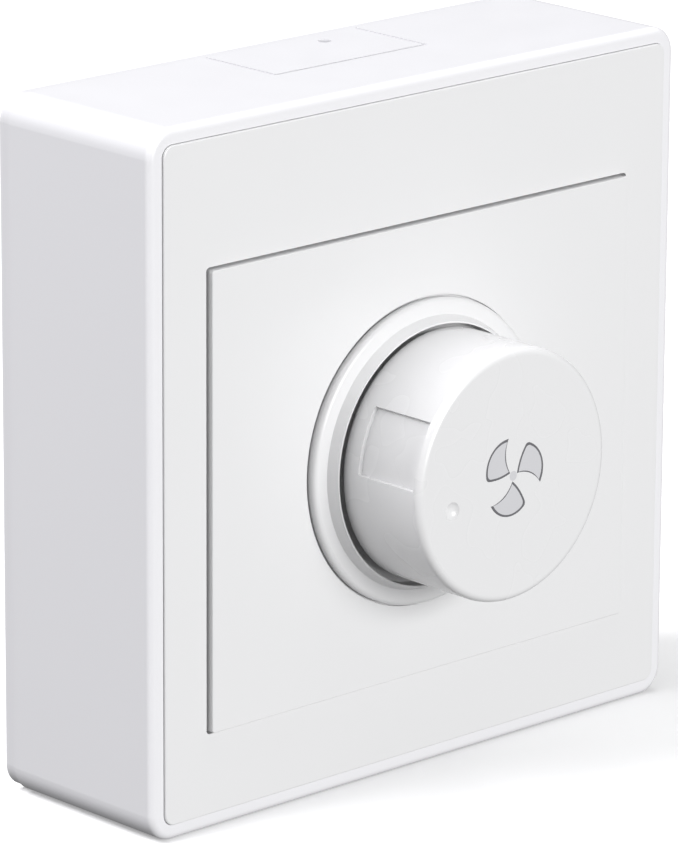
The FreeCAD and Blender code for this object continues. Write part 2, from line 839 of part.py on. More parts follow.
def is_heel(edge, heel):
    """True for the short edge at a blade's blunt outer corner."""
    box = edge.BoundBox
    straight = box.XLength < 1e-4 and box.ZLength < 1e-4
    return straight and math.hypot(box.XMin - heel.x, box.ZMin - heel.y) < 1e-3


def symbol_hub(name):
    """Small disc in the middle of the pictogram."""
    return rod(name, "symbol_hub_r", "symbol_t", depth="knob_front-symbol_t",
               z="-knob_drop")


def symbol_cutters():
    """Shallow pockets in the knob's front for the pictogram."""
    pockets = [blade("blade_pocket", angle) for angle in BLADE_ANGLES]
    return pockets + [symbol_hub("hub_pocket")]


def fan_symbol():
    """Light fill of the three blades and the hub disc."""
    line = size("symbol_line")
    blades = [blade("blade_fill", angle, line) for angle in BLADE_ANGLES]
    keep(group("fan_symbol_set", blades + [symbol_hub("hub_fill")]), "fan_symbol")


def symbol_outline():
    """Thin dark line round each blade."""
    line = size("symbol_line")
    rims = [cut("blade_rim", blade("blade_full", angle), [blade("blade_bite", angle, line)])
            for angle in BLADE_ANGLES]
    keep(group("symbol_outline_set", rims), "symbol_outline")


# ---------------------------------------------------------------- bracket

def mounting_bracket():
    """Aluminium strap that holds the potentiometer and cools the triac."""
    body = new_body("bracket_strap", drop=True)
    sketch = new_sketch(body, "bracket_outline", depth="bracket_back")
    rounded_rectangle(sketch, "strap", "bracket_len", "bracket_tall", "2",
                      size("bracket_len"), size("bracket_tall"), 2.0)
    pad(body, sketch, "bracket_t", "bracket_pad")
    swell = rod("bracket_swell", "pot_r-1", "bracket_t", depth="bracket_back",
                z="-knob_drop")
    tools = [rod("bushing_hole", "bushing_r+0.1", "9", depth="15", z="-knob_drop"),
             rod("triac_hole", "1.6", "9", x="triac_hole_x", depth="15",
                 z="-knob_drop"),
             block("tab_hole", "1.4", "9", "2.8", "-tab_x", "15", "-knob_drop")]
    for side in (-1, 1):
        tools.append(rod("strap_hole", "1.7", "9", x="%d*bracket_screw_x" % side,
                         depth="15", z="-knob_drop"))
    strap = join("bracket_body", [body, swell])
    keep(cut("bracket_whole", strap, tools), "mounting_bracket")


def pan_screw(name, x, z, seat, length):
    """Pan-head screw driven towards the wall, with its head on the given depth."""
    head = rod(name + "_head", "pan_r", "pan_t", x=x, depth=seat, z=z)
    shank = rod(name + "_shank", "screw_r", "%s+0.3" % length, x=x,
                depth="%s-%s" % (seat, length), z=z)
    slot = cross_slot(name + "_slot", x, "%s+pan_t-0.9" % seat, z, "1.9")
    return cut(name, join(name + "_body", [head, shank]), [slot])


def bracket_screws():
    """Two screws through the bracket's ends."""
    screws = [pan_screw("bracket_screw", "%d*bracket_screw_x" % side, "-knob_drop",
                        "bracket_back+bracket_t", "8") for side in (-1, 1)]
    keep(group("bracket_screw_set", screws), "bracket_screws")


# ---------------------------------------------------------------- potentiometer

def pot_can():
    """Cup-shaped metal can, with a locating tab and the fixed stop."""
    outer = rod("can_outer", "pot_r", "bracket_back-pot_back", depth="pot_back",
                z="-knob_drop")
    inner = rod("can_inner", "pot_r-pot_wall", "bracket_back-pot_back-pot_face_t+1",
                depth="pot_back-1", z="-knob_drop")
    hole = rod("can_hole", "bushing_r+0.03", "9", depth="15", z="-knob_drop")
    cup = cut("can_cup", outer, [inner, hole])
    tab = block("can_tab", "1", "bracket_t+0.2", "2.4", "-tab_x", "bracket_back-0.2",
                "-knob_drop")
    start = STOP_ANGLE - size("stop_arc") / 2
    stop = ring_sector("can_stop", "stop_in_r", "pot_r-pot_wall+0.1", "4", "15.5",
                       start, "stop_arc")
    keep(join("can_whole", [cup, tab, stop]), "pot_can")


def pot_bushing():
    """Threaded bushing that the shaft turns in."""
    flange_back = "bracket_back-pot_face_t-flange_t"
    flange = rod("bushing_flange", "flange_r", "flange_t", depth=flange_back,
                 z="-knob_drop")
    barrel = rod("bushing_barrel", "bushing_r", "bushing_end-(%s)" % flange_back,
                 depth=flange_back, z="-knob_drop")
    bore = rod("bushing_bore", "shaft_r+shaft_play", "20", depth="15", z="-knob_drop")
    keep(cut("bushing_whole", join("bushing_body", [flange, barrel]), [bore]),
         "pot_bushing")


def pot_shaft():
    """Shaft with a shoulder inside the can and a D flat under the knob."""
    bar = rod("shaft_bar", "shaft_r", "shaft_end-shaft_back", depth="shaft_back",
              z="-knob_drop")
    shoulder = rod("shaft_shoulder", "shoulder_r", "shoulder_t",
                   depth="shoulder_back", z="-knob_drop")
    flat = block("shaft_flat", "2*shaft_r+1", "shaft_end", "2*shaft_r", "0",
                 "bushing_end+0.3", "-knob_drop-shaft_r+flat_deep-shaft_r")
    keep(cut("shaft_whole", join("shaft_body", [bar, shoulder]), [flat]), "pot_shaft")


def pot_rotor():
    """Disc on the shaft with the turning stop lug."""
    back = "shoulder_back-rotor_t"
    disc = rod("rotor_disc", "rotor_r", "rotor_t", depth=back, z="-knob_drop")
    start = POINTER_ANGLE - size("lug_arc") / 2
    lug = ring_sector("rotor_lug", "rotor_r-0.5", "lug_r", "rotor_t", back, start,
                      "lug_arc")
    bore = rod("rotor_bore", "shaft_r", "9", depth="12", z="-knob_drop")
    keep(cut("rotor_whole", join("rotor_body", [disc, lug]), [bore]), "pot_rotor")


def pot_wiper():
    """Spring leaf under the rotor whose two feet reach for track and collector."""
    leaf_back = "shoulder_back-rotor_t-wiper_t"
    track_top = "pot_back+wafer_t+track_t"
    leaf = ring_sector("wiper_leaf", "shaft_r+0.6", "9", "wiper_t", leaf_back,
                       POINTER_ANGLE - 20, "40")
    feet = []
    for radius in ("4.6", "8.4"):
        x, z = on_circle(radius, POINTER_ANGLE)
        feet.append(rod("wiper_foot", "0.45", "%s-(%s)-0.33+0.1" % (leaf_back, track_top),
                        x=x, depth="%s+0.33" % track_top, z=z))
    keep(join("wiper_whole", [leaf] + feet), "pot_wiper")


def pot_wafer():
    """Insulating disc that closes the can and carries the track."""
    disc = rod("wafer_disc", "pot_r-pot_wall-0.03", "wafer_t", depth="pot_back",
               z="-knob_drop")
    keep(disc, "pot_wafer")


def pot_track():
    """Horseshoe of carbon and the collector ring inside it."""
    surface = "pot_back+wafer_t"
    horseshoe = ring_sector("carbon_track", "7.2", "9.6", "track_t", surface,
                            STOP_ANGLE + 30, "300")
    outer = rod("collector_outer", "5.4", "track_t", depth=surface, z="-knob_drop")
    inner = rod("collector_inner", "3.8", "track_t+1", depth="%s-0.5" % surface,
                z="-knob_drop")
    collector = cut("collector_ring", outer, [inner])
    keep(group("track_set", [horseshoe, collector]), "pot_track")


def pot_terminals():
    """Three lugs from the wafer's back, bent into the circuit board."""
    lugs = []
    for side in (-1, 0, 1):
        x = "%d*5" % side
        strip = block("lug_strip", "1.2", "0.4", "6.4", x, "pot_back-0.4",
                      "-knob_drop-12.2")
        pin = block("lug_pin", "1", "pot_back-board_back+1.1", "0.5", x,
                    "board_back-1.1", "-knob_drop-15.1")
        lugs.append(join("pot_lug", [strip, pin]))
    keep(group("pot_lugs", lugs), "pot_terminals")


def pot_washer():
    """Lock washer with notches round its edge."""
    disc = rod("washer_disc", "washer_r", "washer_t", depth="panel_front",
               z="-knob_drop")
    tools = [rod("washer_hole", "bushing_r+0.1", "3", depth="panel_front-1",
                 z="-knob_drop")]
    for step in range(8):
        x, z = on_circle("washer_r", 45.0 * step)
        tools.append(rod("washer_notch", "0.8", "3", x=x, depth="panel_front-1", z=z))
    keep(cut("washer_whole", disc, tools), "pot_washer")


def pot_nut():
    """Hexagonal nut that clamps panel, bracket and potentiometer."""
    body = hexagon("nut_body", "nut_flats", "nut_t", "panel_front+washer_t",
                   z="-knob_drop")
    bore = rod("nut_bore", "bushing_r+0.02", "nut_t+2",
               depth="panel_front+washer_t-1", z="-knob_drop")
    keep(cut("nut_whole", body, [bore]), "pot_nut")


# ---------------------------------------------------------------- circuit board

def resistor_spots():
    """Middle of each resistor lying on the board."""
    return ((-16.5, -17.5), (-16.5, -21.0), (22.5, -12.0))


RESISTOR_SPAN = 4.6
DIAC_SPOT = (20.5, -16.2)
DIAC_SPAN = 3.4
SUPPRESSOR_SPOT = (-18.0, -3.0)
TIMING_SPOT = (-19.0, 13.5)
VARISTOR_SPOT = (18.5, 13.0)
TRIAC_PIN_X = 30.8


def through_leads():
    """X and Z formulas of every round lead that goes through the board."""
    spots = []
    for x, z in resistor_spots():
        spots += [(x - RESISTOR_SPAN, z), (x + RESISTOR_SPAN, z)]
    x, z = DIAC_SPOT
    spots += [(x - DIAC_SPAN, z), (x + DIAC_SPAN, z)]
    x, z = SUPPRESSOR_SPOT
    spots += [(x, z - 5.0), (x, z + 5.0)]
    x, z = TIMING_SPOT
    spots += [(x - 2.5, z), (x + 2.5, z)]
    x, z = VARISTOR_SPOT
    spots += [(x - 2.5, z), (x + 2.5, z)]
    places = [(str(x), str(z)) for x, z in spots]
    places += [("choke_x+(%d)*(choke_len/2-0.8)" % side, "choke_z")
               for side in (-1, 1)]
    places += [(str(TRIAC_PIN_X), "%g-knob_drop" % (2.54 * way))
               for way in (-1, 0, 1)]
    places += [(way_x(way), "block_z") for way in range(int(size("ways")))]
    return places


def way_x(way):
    """X formula of one way of the terminal block."""
    return "(%d-(ways-1)/2)*way_pitch" % way


def circuit_board():
    """Board with screw holes and a hole for every lead."""
    board = block("board_blank", "board_w", "board_t", "board_tall", "0",
                  "board_back", "-knob_drop")
    tools = [rod("board_hole", "1.6", "5", x=x, depth="9", z=z)
             for x, z in board_spots()]
    tools += [rod("lead_hole", "lead_r+0.15", "5", x=x, depth="9", z=z)
              for x, z in through_leads()]
    tools += [block("lug_hole", "1.3", "5", "0.8", "%d*5" % side, "9",
                    "-knob_drop-15.1") for side in (-1, 0, 1)]
    tools += [block("clip_hole", "3.2", "5", "0.7", "fuse_x", "9",
                    "%d*(fuse_len/2-2.5)-knob_drop" % end) for end in (-1, 1)]
    keep(cut("board_whole", board, tools), "circuit_board")


def board_screws():
    """Four screws that hold the board on its pillars."""
    screws = [pan_screw("board_screw", x, z, "board_back+board_t", "6")
              for x, z in board_spots()]
    keep(group("board_screw_set", screws), "board_screws")


def solder_joints():
    """A cone of solder round every round lead, behind the board."""
    joints = []
    for x, z in through_leads():
        fillet = cone("solder_cone", "lead_r+0.2", "1.05", "0.8", x=x,
                      depth="board_back-0.8", z=z)
        bore = rod("solder_bore", "lead_r", "3", x=x, depth="board_back-2", z=z)
        joints.append(cut("solder_joint", fillet, [bore]))
    keep(group("solder_set", joints), "solder_joints")


def lead(x, z, top="board_back+board_t+0.5"):
    """Straight lead from behind the board up to a depth."""
    bottom = "board_back-lead_tail"
    return rod("lead", "lead_r", "%s-(%s)" % (top, bottom), x=str(x), depth=bottom,
               z=str(z))


def axial_part(name, x, z, span, radius, length, lift):
    """Barrel lying on the board and its wire bent down at both ends."""
    body = rod(name + "_barrel", radius, length, x="%g-(%s)/2" % (x, length),
               depth="board_back+board_t+%s" % lift, z=str(z), along="right")
    wires = []
    for side in (-1, 1):
        start = x - span if side < 0 else x
        run = "%g-(%s)/2" % (span, length) if side < 0 else "%g" % span
        run_start = str(start) if side < 0 else "%g+(%s)/2" % (x, length)
        run_len = run if side < 0 else "%g-(%s)/2" % (span, length)
        across = rod(name + "_wire", "lead_r", run_len, x=run_start,
                     depth="board_back+board_t+%s" % lift, z=str(z), along="right")
        down = lead(x + side * span, z, "board_back+board_t+%s" % lift)
        wires.append(join(name + "_lead", [across, down]))
    return body, wires


def resistors():
    """Three axial resistors: barrels in one node and wires in another."""
    barrels = []
    wires = []
    for x, z in resistor_spots():
        barrel, pair = axial_part("resistor", x, z, RESISTOR_SPAN, "1.2", "6.3", "1.4")
        barrels.append(barrel)
        wires += pair
    keep(group("resistor_set", barrels), "resistors")
    barrel, pair = axial_part("diac", DIAC_SPOT[0], DIAC_SPOT[1], DIAC_SPAN, "0.95",
                              "4", "1.2")
    keep(barrel, "diac")
    keep(group("axial_wire_set", wires + pair), "axial_leads")


def suppressor_capacitor():
    """Box film capacitor beside the potentiometer, with its two leads."""
    x, z = SUPPRESSOR_SPOT
    case = block("suppressor_case", "6", "7.6", "15", str(x), "board_back+board_t+0.1",
                 str(z))
    keep(case, "suppressor_capacitor")
    return [flush_lead(x, z - 5.0), flush_lead(x, z + 5.0)]


def flush_lead(x, z):
    """Lead that ends where a component's case begins."""
    return lead(x, z, "board_back+board_t+0.1")


def timing_capacitor():
    """Small box capacitor near the board's upper edge, with its two leads."""
    x, z = TIMING_SPOT
    case = block("timing_case", "7.2", "6.5", "2.6", str(x), "board_back+board_t+0.1",
                 str(z))
    keep(case, "timing_capacitor")
    return [flush_lead(x - 2.5, z), flush_lead(x + 2.5, z)]


def varistor():
    """Disc varistor standing on its two leads."""
    x, z = VARISTOR_SPOT
    disc = rod("varistor_disc", "3.6", "3", x=str(x),
               depth="board_back+board_t+3.8", z="%g-1.5" % z, along="up")
    keep(disc, "varistor")
    return [flush_varistor_lead(x - 2.5, z), flush_varistor_lead(x + 2.5, z)]


def flush_varistor_lead(x, z):
    """Lead that ends at the varistor's round edge."""
    return lead(x, z, "board_back+board_t+3.8-2.87")


def radial_leads(groups):
    """All straight component leads, as one node."""
    keep(group("radial_lead_set", [wire for wires in groups for wire in wires]),
         "radial_leads")


def choke():
    """Rod-core choke lying along the board's lower edge."""
    axis_depth = "board_back+board_t+winding_r+0.2"
    core = rod("choke_core_rod", "core_r", "choke_len", x="choke_x-choke_len/2",
               depth=axis_depth, z="choke_z", along="right")
    keep(core, "choke_core")
    outer = rod("winding_outer", "winding_r", "winding_len", x="choke_x-winding_len/2",
                depth=axis_depth, z="choke_z", along="right")
    inner = rod("winding_inner", "core_r+0.02", "winding_len+2",
                x="choke_x-winding_len/2-1", depth=axis_depth, z="choke_z",
                along="right")
    keep(cut("winding_whole", outer, [inner]), "choke_winding")
    return [lead("choke_x+(%d)*(choke_len/2-0.8)" % side, "choke_z",
                 "%s-core_r-0.02" % axis_depth) for side in (-1, 1)]


# ---------------------------------------------------------------- triac

def triac():
    """Triac clamped under the bracket: tab, moulded body, pins, pad, screw, nut."""
    tab_back = "bracket_back-pad_t-tab_t"
    body_back = "bracket_back-pad_t-triac_t"
    tab = block("triac_tab_blank", "6.6", "tab_t", "triac_w", "triac_hole_x",
                tab_back, "-knob_drop")
    hole = rod("triac_tab_hole", "1.7", "6", x="triac_hole_x", depth="15",
               z="-knob_drop")
    keep(cut("triac_tab_whole", tab, [hole]), "triac_tab")
    case = block("triac_case", "9", "triac_t", "triac_w", "triac_hole_x+7.8",
                 body_back, "-knob_drop")
    keep(case, "triac_body")
    pins = [triac_pin(way) for way in (-1, 0, 1)]
    keep(group("triac_pin_set", pins), "triac_pins")
    pad_sheet = block("triac_pad_blank", "16", "pad_t", "triac_w+1",
                      "triac_hole_x+4.4", "bracket_back-pad_t", "-knob_drop")
    pad_hole = rod("triac_pad_hole", "1.6", "6", x="triac_hole_x", depth="15",
                   z="-knob_drop")
    keep(cut("triac_pad_whole", pad_sheet, [pad_hole]), "triac_pad")
    keep(pan_screw("triac_fixing", "triac_hole_x", "-knob_drop",
                   "bracket_back+bracket_t", "6"), "triac_screw")
    nut = hexagon("triac_nut_body", "5.5", "2", "%s-2" % tab_back, x="triac_hole_x",
                  z="-knob_drop")
    nut_bore = rod("triac_nut_bore", "screw_r+0.02", "6", x="triac_hole_x",
                   depth="%s-4" % tab_back, z="-knob_drop")
    keep(cut("triac_nut_whole", nut, [nut_bore]), "triac_nut")


def triac_pin(way):
    """Pin out of the triac's end, bent towards the board."""
    z = "%g-knob_drop" % (2.54 * way)
    level = "bracket_back-pad_t-2.6"
    body_end = "triac_hole_x+12.3"
    out = rod("triac_pin_out", "lead_r", "%g-(%s)" % (TRIAC_PIN_X, body_end),
              x=body_end, depth=level, z=z, along="right")
    down = rod("triac_pin_down", "lead_r", "%s-board_back+lead_tail" % level,
               x=str(TRIAC_PIN_X), depth="board_back-lead_tail", z=z)
    return join("triac_pin", [out, down])


# ---------------------------------------------------------------- fuse

def fuse():
    """Glass fuse in two spring clips, standing up and down on the board."""
    axis_depth = "board_back+board_t+fuse_lift"
    low = "-knob_drop-fuse_len/2"
    glass_outer = rod("glass_outer", "fuse_r-0.15", "fuse_len-2*cap_len+2",
                      x="fuse_x", depth=axis_depth, z="%s+cap_len-1" % low, along="up")
    glass_inner = rod("glass_inner", "fuse_r-0.6", "fuse_len", x="fuse_x",
                      depth=axis_depth, z=low, along="up")
    keep(cut("glass_whole", glass_outer, [glass_inner]), "fuse_glass")
    caps = [fuse_cap(axis_depth, low, end) for end in (0, 1)]
    keep(group("fuse_cap_set", caps), "fuse_caps")
    wire = rod("fuse_wire_rod", "0.12", "fuse_len-2*0.6", x="fuse_x",
               depth=axis_depth, z="%s+0.6" % low, along="up")
    keep(wire, "fuse_wire")
    clips = [fuse_clip(axis_depth, end) for end in (-1, 1)]
    keep(group("fuse_clip_set", clips), "fuse_clips")


def fuse_cap(axis_depth, low, end):
    """Metal end cap: a cup over the end of the glass."""
    start = low if end == 0 else "-knob_drop+fuse_len/2-cap_len"
    solid = rod("cap_solid", "fuse_r", "cap_len", x="fuse_x", depth=axis_depth,
                z=start, along="up")
    mouth = "%s+0.6" % start if end == 0 else "%s-0.6" % start
    hollow = rod("cap_hollow", "fuse_r-0.13", "cap_len", x="fuse_x",
                 depth=axis_depth, z=mouth, along="up")
    return cut("fuse_cap", solid, [hollow])


def fuse_clip(axis_depth, end):
    """Spring clip: two cheeks on a base, with a foot through the board."""
    z = "%d*(fuse_len/2-2.5)-knob_drop" % end
    outer = rod("clip_outer", "fuse_r+0.45", "3.6", x="fuse_x", depth=axis_depth,
                z="%s-1.8" % z, along="up")
    inner = rod("clip_inner", "fuse_r+0.02", "5", x="fuse_x", depth=axis_depth,
                z="%s-2.5" % z, along="up")
    mouth = block("clip_mouth", "3.4", "5", "5", "fuse_x", "%s+0.8" % axis_depth, z)
    ring = cut("clip_ring", outer, [inner, mouth])
    base = block("clip_base", "3", "fuse_lift-fuse_r-0.2", "3.4", "fuse_x",
                 "board_back+board_t", z)
    foot = block("clip_foot", "2.8", "board_t+1.2", "0.5", "fuse_x",
                 "board_back-1.1", z)
    return join("fuse_clip", [ring, base, foot])


# ---------------------------------------------------------------- terminal block

def terminal_block():
    """Moulded body with a wire chamber and a screw well for each way."""
    front = "board_back+board_t"
    body = block("block_body", "ways*way_pitch", "block_tall", "block_deep", "0",
                 front, "block_z")
    tools = []
    for way in range(int(size("ways"))):
        x = way_x(way)
        tools.append(rod("screw_well", "well_r", "5", x=x,
                         depth="%s+block_tall-4" % front, z="block_z"))
        tools.append(block("wire_chamber", "chamber_w", "4.6", "block_deep-1.4", x,
                           "%s+1.6" % front, "block_z+1"))
        tools.append(rod("pin_hole", "lead_r+0.05", "3", x=x, depth="%s-1" % front,
                         z="block_z"))
    keep(cut("block_whole", body, tools), "terminal_block")


def terminal_cages():
    """Brass clamp cage and solder pin in each wire chamber."""
    front = "board_back+board_t"
    cages = []
    for way in range(int(size("ways"))):
        x = way_x(way)
        frame = block("cage_frame", "chamber_w-0.2", "4.2", "4.4", x, "%s+1.7" % front,
                      "block_z")
        passage = block("cage_passage", "2.4", "2.5", "6", x, "%s+2.3" % front,
                        "block_z")
        thread = rod("cage_thread", "screw_r+0.02", "4", x=x, depth="%s+3.5" % front,
                     z="block_z")
        pin = rod("cage_pin", "lead_r", "1.8+board_t+lead_tail", x=x,
                  depth="board_back-lead_tail", z="block_z")
        cages.append(join("cage", [cut("cage_cut", frame, [passage, thread]), pin]))
    keep(group("cage_set", cages), "terminal_cages")


def terminal_screws():
    """Slotted clamp screws in the wells."""
    front = "board_back+board_t"
    screws = []
    for way in range(int(size("ways"))):
        x = way_x(way)
        head = rod("clamp_head", "well_r-0.2", "2", x=x, depth="%s+6.5" % front,
                   z="block_z")
        shank = rod("clamp_shank", "screw_r", "3.2", x=x, depth="%s+3.6" % front,
                    z="block_z")
        slot = block("clamp_slot", "6", "2", "0.6", x, "%s+7.7" % front, "block_z")
        screws.append(cut("clamp_screw", join("clamp_body", [head, shank]), [slot]))
    keep(group("clamp_screw_set", screws), "terminal_screws")


# ---------------------------------------------------------------- whole controller

def build():
    """Make every sub-part."""
    fill_sheet()
    back_plate()
    pillars()
    housing()
    back_screws()
    face_plate()
    centre_panel()
    collar()
    knob()
    fan_symbol()
    symbol_outline()
    mounting_bracket()
    bracket_screws()
    pot_can()
    pot_bushing()
    pot_shaft()
    pot_rotor()
    pot_wiper()
    pot_wafer()
    pot_track()
    pot_terminals()
    pot_washer()
    pot_nut()
    circuit_board()
    board_screws()
    solder_joints()
    resistors()
    leads = [suppressor_capacitor(), timing_capacitor(), varistor(), choke()]
    radial_leads(leads)
    triac()
    fuse()
    terminal_block()
    terminal_cages()
    terminal_screws()
    doc.recompute()


def check():
    """Stop on any failed object or bad shape."""
    for thing in doc.Objects:
        if "Invalid" in thing.State or "Error" in thing.State:
            raise RuntimeError("%s failed: %s" % (thing.Label, thing.State))
    for part in subparts:
        shape = part.Shape
        if shape.isNull() or not shape.isValid() or not shape.Solids:
            raise RuntimeError("bad shape: " + part.Label)


def export():
    """Write one STEP file for each sub-part."""
    os.makedirs("parts", exist_ok=True)
    for part in subparts:
        part.Shape.exportStep("parts/%s.step" % part.Label)
        box = part.Shape.BoundBox
        print("%-22s solids %2d  volume %9.1f  y %.2f..%.2f" % (
            part.Label, len(part.Shape.Solids), part.Shape.Volume, box.YMin, box.YMax))


build()
check()
export()
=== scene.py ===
"""Looks for the rotary fan speed controller: materials, stage, light and camera.

Every length is in metres in the CAD frame: the wall is the plane Y = 0, the
controller stands out of it towards -Y, +X is to the right and +Z is up.
Colours are linear RGB, and noise scales are in waves per metre.
"""
import json
import math

import bpy
from mathutils import Matrix, Vector


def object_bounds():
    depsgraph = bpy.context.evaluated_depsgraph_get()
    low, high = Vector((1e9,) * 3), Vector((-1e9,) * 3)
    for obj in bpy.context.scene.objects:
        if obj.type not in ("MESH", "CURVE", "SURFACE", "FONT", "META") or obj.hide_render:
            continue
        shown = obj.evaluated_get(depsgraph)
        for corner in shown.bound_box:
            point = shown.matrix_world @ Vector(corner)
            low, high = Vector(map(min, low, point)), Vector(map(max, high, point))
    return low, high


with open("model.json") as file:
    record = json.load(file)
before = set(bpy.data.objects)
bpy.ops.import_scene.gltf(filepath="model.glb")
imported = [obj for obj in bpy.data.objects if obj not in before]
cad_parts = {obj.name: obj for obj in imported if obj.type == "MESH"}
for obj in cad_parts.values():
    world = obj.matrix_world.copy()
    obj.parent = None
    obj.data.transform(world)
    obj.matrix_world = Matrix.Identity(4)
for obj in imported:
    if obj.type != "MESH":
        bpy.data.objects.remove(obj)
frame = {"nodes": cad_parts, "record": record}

MM = 0.001
CAD_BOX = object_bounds()

# ---------------------------------------------------------------- camera

RIM_CENTRE = Vector((0.0, -26.5 * MM, 0.0))
# Degrees: turned to the left of the knob's axis, raised above it, and tilted.
VIEW_YAW = 43.284
VIEW_RISE = 16.189
VIEW_ROLL = 0.313
VIEW_DISTANCE = 730.9 * MM
# Where the rim's centre lies from the middle of the picture.
AIM_RIGHT = 9.593 * MM
AIM_UP = 0.153 * MM
# Sensor width in millimetres, and the focal length over that width.
SENSOR = 36.0
FOCAL_PER_WIDTH = 8.9863


def add_camera():
    """Camera to the left of the knob's axis and above it, with a long lens."""
    yaw = math.radians(VIEW_YAW)
    rise = math.radians(VIEW_RISE)
    roll = math.radians(VIEW_ROLL)
    back = Vector((-math.sin(yaw) * math.cos(rise), -math.cos(yaw) * math.cos(rise),
                   math.sin(rise)))
    level = Vector((math.cos(yaw), -math.sin(yaw), 0.0))
    upright = level.cross(-back).normalized()
    right = math.cos(roll) * level + math.sin(roll) * upright
    up = math.cos(roll) * upright - math.sin(roll) * level
    data = bpy.data.cameras.new("camera")
    data.sensor_fit = "HORIZONTAL"
    data.sensor_width = SENSOR
    data.lens = SENSOR * FOCAL_PER_WIDTH
    camera = bpy.data.objects.new("camera", data)
    place = RIM_CENTRE + VIEW_DISTANCE * back - AIM_RIGHT * right - AIM_UP * up
    turn = Matrix((right, up, back)).transposed().to_4x4()
    camera.matrix_world = Matrix.Translation(place) @ turn
    bpy.context.scene.collection.objects.link(camera)
    bpy.context.scene.camera = camera


# ---------------------------------------------------------------- stage

FLOOR_SIZE = 6.0
FLOOR_GAP = 0.1 * MM
FLOOR_LEVEL = CAD_BOX[0][2] - FLOOR_GAP
FLOOR_SEEN = (0.95, 0.95, 0.955)
FLOOR_BOUNCE = (0.02, 0.02, 0.021)
FLOOR_GLOW = 0.22
FLOOR_ROUGHNESS = 0.9


def add_floor():
    """Wide pale floor just under the lower edge, clear of its flat face."""
    half = FLOOR_SIZE / 2
    corners = [(-half, -half), (half, -half), (half, half), (-half, half)]
    mesh = bpy.data.meshes.new("floor")
    mesh.from_pydata([(x, y, FLOOR_LEVEL) for x, y in corners], [], [(0, 1, 2, 3)])
    floor = bpy.data.objects.new("floor", mesh)
    bpy.context.scene.collection.objects.link(floor)
    mesh.materials.append(floor_material())


def floor_material():
    """Matt white paper that throws back less light than it shows."""
    maker = Maker("floor_paper")
    maker.constant(Roughness=FLOOR_ROUGHNESS, Specular_IOR_Level=0.0,
                   Emission_Strength=FLOOR_GLOW, Emission_Color=(1.0, 1.0, 1.0, 1.0))
    seen = maker.nodes.new("ShaderNodeLightPath").outputs["Is Camera Ray"]
    maker.into(maker.ramp(seen, ((0.0, FLOOR_BOUNCE), (1.0, FLOOR_SEEN))), "Base Color")
    return maker.material


# ---------------------------------------------------------------- light

NEUTRAL = (1.0, 1.0, 1.0)
COOL = (0.985, 0.98, 1.0)
# Name, place, side in metres, power in watts and colour of each softbox.
SOFTBOXES = (
    ("overhead", (0.1, 0.25, 2.2), 1.6, 17.0, NEUTRAL),
    ("front", (0.02, -2.15, 0.4), 1.0, 45.5, NEUTRAL),
    ("high_left", (-1.15, 0.45, 1.35), 0.9, 34.0, COOL),
)
SURROUND_SEEN = 1.05
SURROUND_LIGHT = 0.22
SURROUND_TINT = (0.97, 0.98, 1.0)


def add_softbox(name, place, side, power, colour):
    """Square area light at a place, pointed at the controller."""
    data = bpy.data.lights.new(name, "AREA")
    data.shape = "SQUARE"
    data.size = side
    data.energy = power
    data.color = colour
    light = bpy.data.objects.new(name, data)
    light.location = place
    light.rotation_euler = Vector(place).to_track_quat("Z", "Y").to_euler()
    bpy.context.scene.collection.objects.link(light)


def background(nodes, colour, strength):
    """Background shader of one colour and strength."""
    node = nodes.new("ShaderNodeBackground")
    node.inputs["Color"].default_value = (*colour, 1.0)
    node.inputs["Strength"].default_value = strength
    return node.outputs["Background"]


def add_surround():
    """White surround, dimmer as a light than as a background."""
    world = bpy.data.worlds.new("surround")
    bpy.context.scene.world = world
    world.use_nodes = True
    nodes = world.node_tree.nodes
    links = world.node_tree.links
    nodes.clear()
    out = nodes.new("ShaderNodeOutputWorld")
    mix = nodes.new("ShaderNodeMixShader")
    path = nodes.new("ShaderNodeLightPath")
    lit = background(nodes, SURROUND_TINT, SURROUND_LIGHT)
    seen = background(nodes, NEUTRAL, SURROUND_SEEN)
    links.new(path.outputs["Is Camera Ray"], mix.inputs["Fac"])
    links.new(lit, mix.inputs[1])
    links.new(seen, mix.inputs[2])
    links.new(mix.outputs["Shader"], out.inputs["Surface"])


def add_lights():
    """The dim surround and the softboxes."""
    add_surround()
    for softbox in SOFTBOXES:
        add_softbox(*softbox)


# ---------------------------------------------------------------- material nodes

NOISE_ROUGHNESS = 0.55
# Most of a noise texture's values lie between these two.
NOISE_LOW = 0.3
NOISE_HIGH = 0.7


